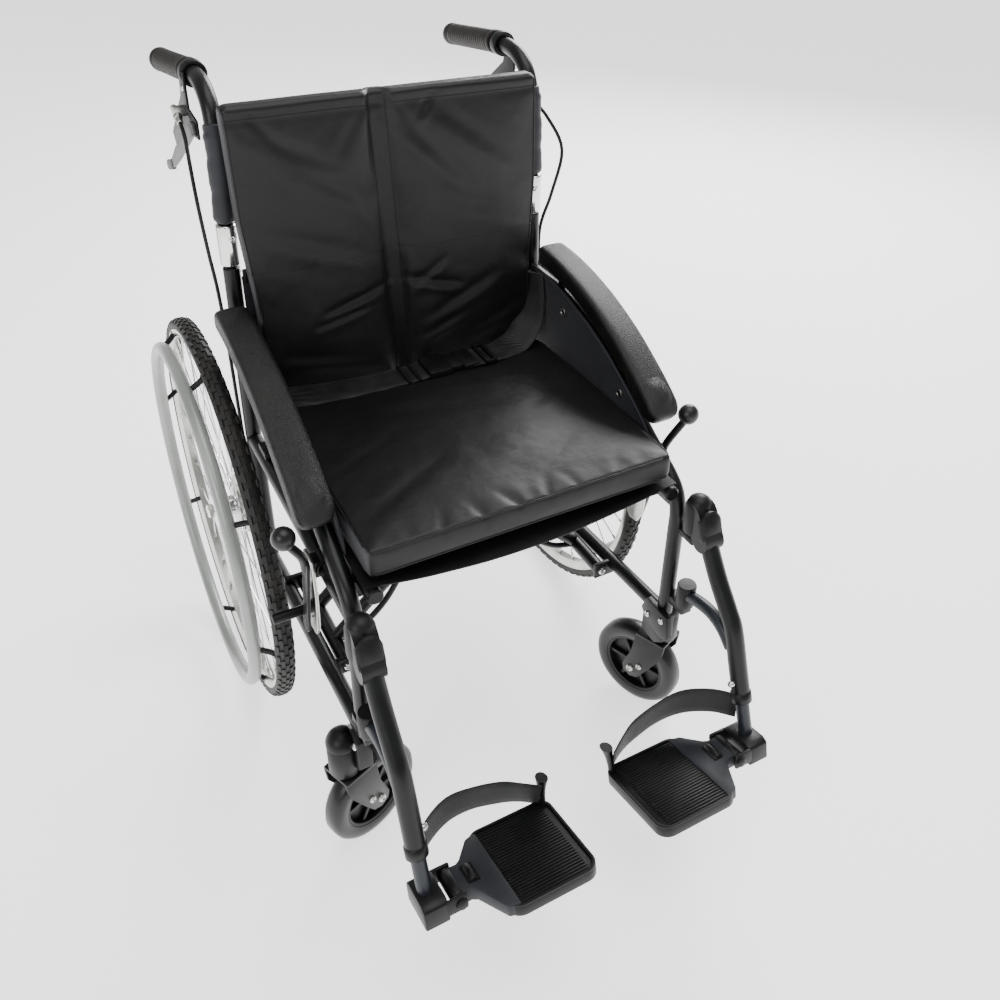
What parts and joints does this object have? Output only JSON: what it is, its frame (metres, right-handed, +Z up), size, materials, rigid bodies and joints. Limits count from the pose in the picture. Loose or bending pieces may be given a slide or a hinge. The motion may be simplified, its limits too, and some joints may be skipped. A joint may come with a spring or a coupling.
{
  "type": "folding wheelchair with attendant brakes",
  "caption": "Folding wheelchair with large handrim wheels, swivel casters, half-folding padded back, cushioned sling seat, lap belt, swing-away leg rests and drum brakes",
  "frame": {"origin": "on the floor, under the middle of the bounding box", "axes": "+Z up; the user faces -Y; +X is the left of the user, across the chair"},
  "size_m": [0.6636, 1.0294, 0.9637],
  "materials": {
    "frame_paint": "satin black powder coat with a bluish sheen",
    "chrome": "polished chrome plate",
    "aluminium": "bright satin aluminium",
    "steel": "bright steel spokes and hub",
    "handrim": "satin silver-grey anodised",
    "tyre": "black rubber with a knobbed tread",
    "caster_rubber": "solid black polyurethane",
    "grip_rubber": "dark ribbed rubber",
    "plastic": "matt black moulded plastic",
    "arm_vinyl": "pebbled black moulded polyurethane",
    "nylon": "coated black nylon with a soft sheen",
    "panel_fabric": "dark blue-grey woven fabric",
    "webbing": "black ribbed webbing"
  },
  "bodies": {
    "left_frame": {"left_side_frame": "frame_paint", "left_arm_pad": "arm_vinyl", "left_side_panel": "panel_fabric", "left_drum_brake": "aluminium", "left_wheel_axle": "chrome", "left_parking_bracket": "aluminium", "left_brake_cable": "plastic", "back_pad_lower": "nylon"},
    "brace_a": {"brace_arm_a": "frame_paint", "brace_pivot_bolt": "steel"},
    "brace_b": {"brace_arm_b": "frame_paint", "seat_sling": "nylon", "seat_cushion": "nylon", "lap_belt": "webbing"},
    "right_frame": {"right_side_frame": "frame_paint", "right_arm_pad": "arm_vinyl", "right_side_panel": "panel_fabric", "right_drum_brake": "aluminium", "right_wheel_axle": "chrome", "right_parking_bracket": "aluminium", "right_brake_cable": "plastic"},
    "left_wheel": {"left_tyre": "tyre", "left_rim": "aluminium", "left_hub_spokes": "steel", "left_handrim": "handrim"},
    "left_caster": {"left_caster_fork": "frame_paint", "left_caster_axle": "aluminium"},
    "left_caster_roller": {"left_caster_wheel": "caster_rubber"},
    "left_legrest": {"left_hanger": "frame_paint"},
    "left_footrest": {"left_footrest_tube": "frame_paint"},
    "left_foot_flip": {"left_footplate": "plastic", "left_heel_strap": "webbing"},
    "left_parking_lever": {"left_parking_lever": "frame_paint"},
    "left_parking_shoe": {"left_parking_shoe": "plastic"},
    "left_back": {"left_back_post": "frame_paint", "left_hinge_sleeve": "chrome", "left_grip": "grip_rubber", "left_brake_bracket": "plastic", "back_pad_upper": "nylon"},
    "left_brake_lever": {"left_brake_lever": "aluminium"},
    "left_back_release": {"left_back_release": "plastic"},
    "right_wheel": {"right_tyre": "tyre", "right_rim": "aluminium", "right_hub_spokes": "steel", "right_handrim": "handrim"},
    "right_caster": {"right_caster_fork": "frame_paint", "right_caster_axle": "aluminium"},
    "right_caster_roller": {"right_caster_wheel": "caster_rubber"},
    "right_legrest": {"right_hanger": "frame_paint"},
    "right_footrest": {"right_footrest_tube": "frame_paint"},
    "right_foot_flip": {"right_footplate": "plastic", "right_heel_strap": "webbing"},
    "right_parking_lever": {"right_parking_lever": "frame_paint"},
    "right_parking_shoe": {"right_parking_shoe": "plastic"},
    "right_back": {"right_back_post": "frame_paint", "right_hinge_sleeve": "chrome", "right_grip": "grip_rubber", "right_brake_bracket": "plastic"},
    "right_brake_lever": {"right_brake_lever": "aluminium"},
    "right_back_release": {"right_back_release": "plastic"}
  },
  "joints": [
    {"name": "fold", "type": "hinge", "parent": "left_frame", "child": "brace_a", "pos_m": [0.211, -0.0073, 0.219], "axis": [0, 1, 0], "range_deg": [0, 41], "deforming": ["seat_sling", "seat_cushion", "lap_belt", "back_pad_lower", "back_pad_upper"]},
    {"name": "fold_brace", "type": "hinge", "parent": "brace_a", "child": "brace_b", "pos_m": [0, -0.0073, 0.345], "axis": [0, 1, 0], "range_deg": [-82.1, 0]},
    {"name": "fold_right_frame", "type": "hinge", "parent": "brace_b", "child": "right_frame", "pos_m": [-0.211, -0.0073, 0.219], "axis": [0, 1, 0], "range_deg": [0, 41.1]},
    {"name": "left_wheel_roll", "type": "hinge", "parent": "left_frame", "child": "left_wheel", "pos_m": [0.287, 0.2127, 0.303], "axis": [1, 0, 0], "continuous": true},
    {"name": "left_caster_swivel", "type": "hinge", "parent": "left_frame", "child": "left_caster", "pos_m": [0.26, -0.2173, 0.154], "axis": [0, 0, 1], "continuous": true},
    {"name": "left_caster_roll", "type": "hinge", "parent": "left_caster", "child": "left_caster_roller", "pos_m": [0.24595, -0.18199, 0.0733], "axis": [0.9291, 0.3698, 0], "continuous": true},
    {"name": "left_legrest_swing", "type": "hinge", "parent": "left_frame", "child": "left_legrest", "pos_m": [0.24, -0.2773, 0.45], "axis": [0, 0, 1], "range_deg": [0, 90]},
    {"name": "left_footrest_height", "type": "slide", "parent": "left_legrest", "child": "left_footrest", "axis": [0, -0.36, -0.933], "range_m": [-0.02, 0.05]},
    {"name": "left_footplate_flip", "type": "hinge", "parent": "left_footrest", "child": "left_foot_flip", "pos_m": [0.207, -0.4388, 0.162], "axis": [0, 0.9681, -0.2504], "range_deg": [0, 78], "deforming": ["left_heel_strap"]},
    {"name": "left_parking_lever_push", "type": "hinge", "parent": "left_frame", "child": "left_parking_lever", "pos_m": [0.263, -0.1223, 0.335], "axis": [1, 0, 0], "range_deg": [0, 30]},
    {"name": "left_parking_shoe_turn", "type": "hinge", "parent": "left_frame", "child": "left_parking_shoe", "pos_m": [0.258, -0.1353, 0.378], "axis": [1, 0, 0], "range_deg": [0, 14.6]},
    {"name": "right_wheel_roll", "type": "hinge", "parent": "right_frame", "child": "right_wheel", "pos_m": [-0.287, 0.2127, 0.303], "axis": [1, 0, 0], "continuous": true},
    {"name": "right_caster_swivel", "type": "hinge", "parent": "right_frame", "child": "right_caster", "pos_m": [-0.26, -0.2173, 0.154], "axis": [0, 0, 1], "continuous": true},
    {"name": "right_caster_roll", "type": "hinge", "parent": "right_caster", "child": "right_caster_roller", "pos_m": [-0.22452, -0.20368, 0.0733], "axis": [0.3584, -0.9336, 0], "continuous": true},
    {"name": "right_legrest_swing", "type": "hinge", "parent": "right_frame", "child": "right_legrest", "pos_m": [-0.24, -0.2773, 0.45], "axis": [0, 0, -1], "range_deg": [0, 90]},
    {"name": "right_footrest_height", "type": "slide", "parent": "right_legrest", "child": "right_footrest", "axis": [0, -0.36, -0.933], "range_m": [-0.02, 0.05]},
    {"name": "right_footplate_flip", "type": "hinge", "parent": "right_footrest", "child": "right_foot_flip", "pos_m": [-0.207, -0.4388, 0.162], "axis": [0, -0.9681, 0.2504], "range_deg": [0, 78], "deforming": ["right_heel_strap"]},
    {"name": "right_parking_lever_push", "type": "hinge", "parent": "right_frame", "child": "right_parking_lever", "pos_m": [-0.263, -0.1223, 0.335], "axis": [1, 0, 0], "range_deg": [0, 30]},
    {"name": "right_parking_shoe_turn", "type": "hinge", "parent": "right_frame", "child": "right_parking_shoe", "pos_m": [-0.258, -0.1353, 0.378], "axis": [1, 0, 0], "range_deg": [0, 14.6]},
    {"name": "back_fold", "type": "hinge", "parent": "left_frame", "child": "left_back", "pos_m": [0.231, 0.2007, 0.716], "axis": [-1, 0, 0], "range_deg": [0, 90], "deforming": ["left_brake_cable", "right_brake_cable"]},
    {"name": "back_fold_right", "type": "hinge", "parent": "right_frame", "child": "right_back", "pos_m": [-0.231, 0.2007, 0.716], "axis": [-1, 0, 0], "range_deg": [0, 90]},
    {"name": "left_brake_squeeze", "type": "hinge", "parent": "left_back", "child": "left_brake_lever", "pos_m": [0.243, 0.2277, 0.888], "axis": [1, 0, 0], "range_deg": [0, 12], "stiffness_Nm_per_rad": 1.5},
    {"name": "left_back_release_press", "type": "slide", "parent": "left_frame", "child": "left_back_release", "axis": [0, 0, 1], "range_m": [-0.004, 0], "stiffness_N_per_m": 200},
    {"name": "right_brake_squeeze", "type": "hinge", "parent": "right_back", "child": "right_brake_lever", "pos_m": [-0.243, 0.2277, 0.888], "axis": [1, 0, 0], "range_deg": [0, 12], "stiffness_Nm_per_rad": 1.5},
    {"name": "right_back_release_press", "type": "slide", "parent": "right_frame", "child": "right_back_release", "axis": [0, 0, 1], "range_m": [-0.004, 0], "stiffness_N_per_m": 200}
  ],
  "couplings": [
    {"joint": "fold_brace", "follows": "fold", "ratio": -2},
    {"joint": "fold_right_frame", "follows": "fold", "ratio": 1},
    {"joint": "left_footplate_flip", "follows": "fold", "ratio": 1.9},
    {"joint": "left_parking_shoe_turn", "follows": "left_parking_lever_push", "ratio": 0.483},
    {"joint": "right_footplate_flip", "follows": "fold", "ratio": 1.9},
    {"joint": "right_parking_shoe_turn", "follows": "right_parking_lever_push", "ratio": 0.483},
    {"joint": "back_fold_right", "follows": "back_fold", "ratio": 1}
  ]
}
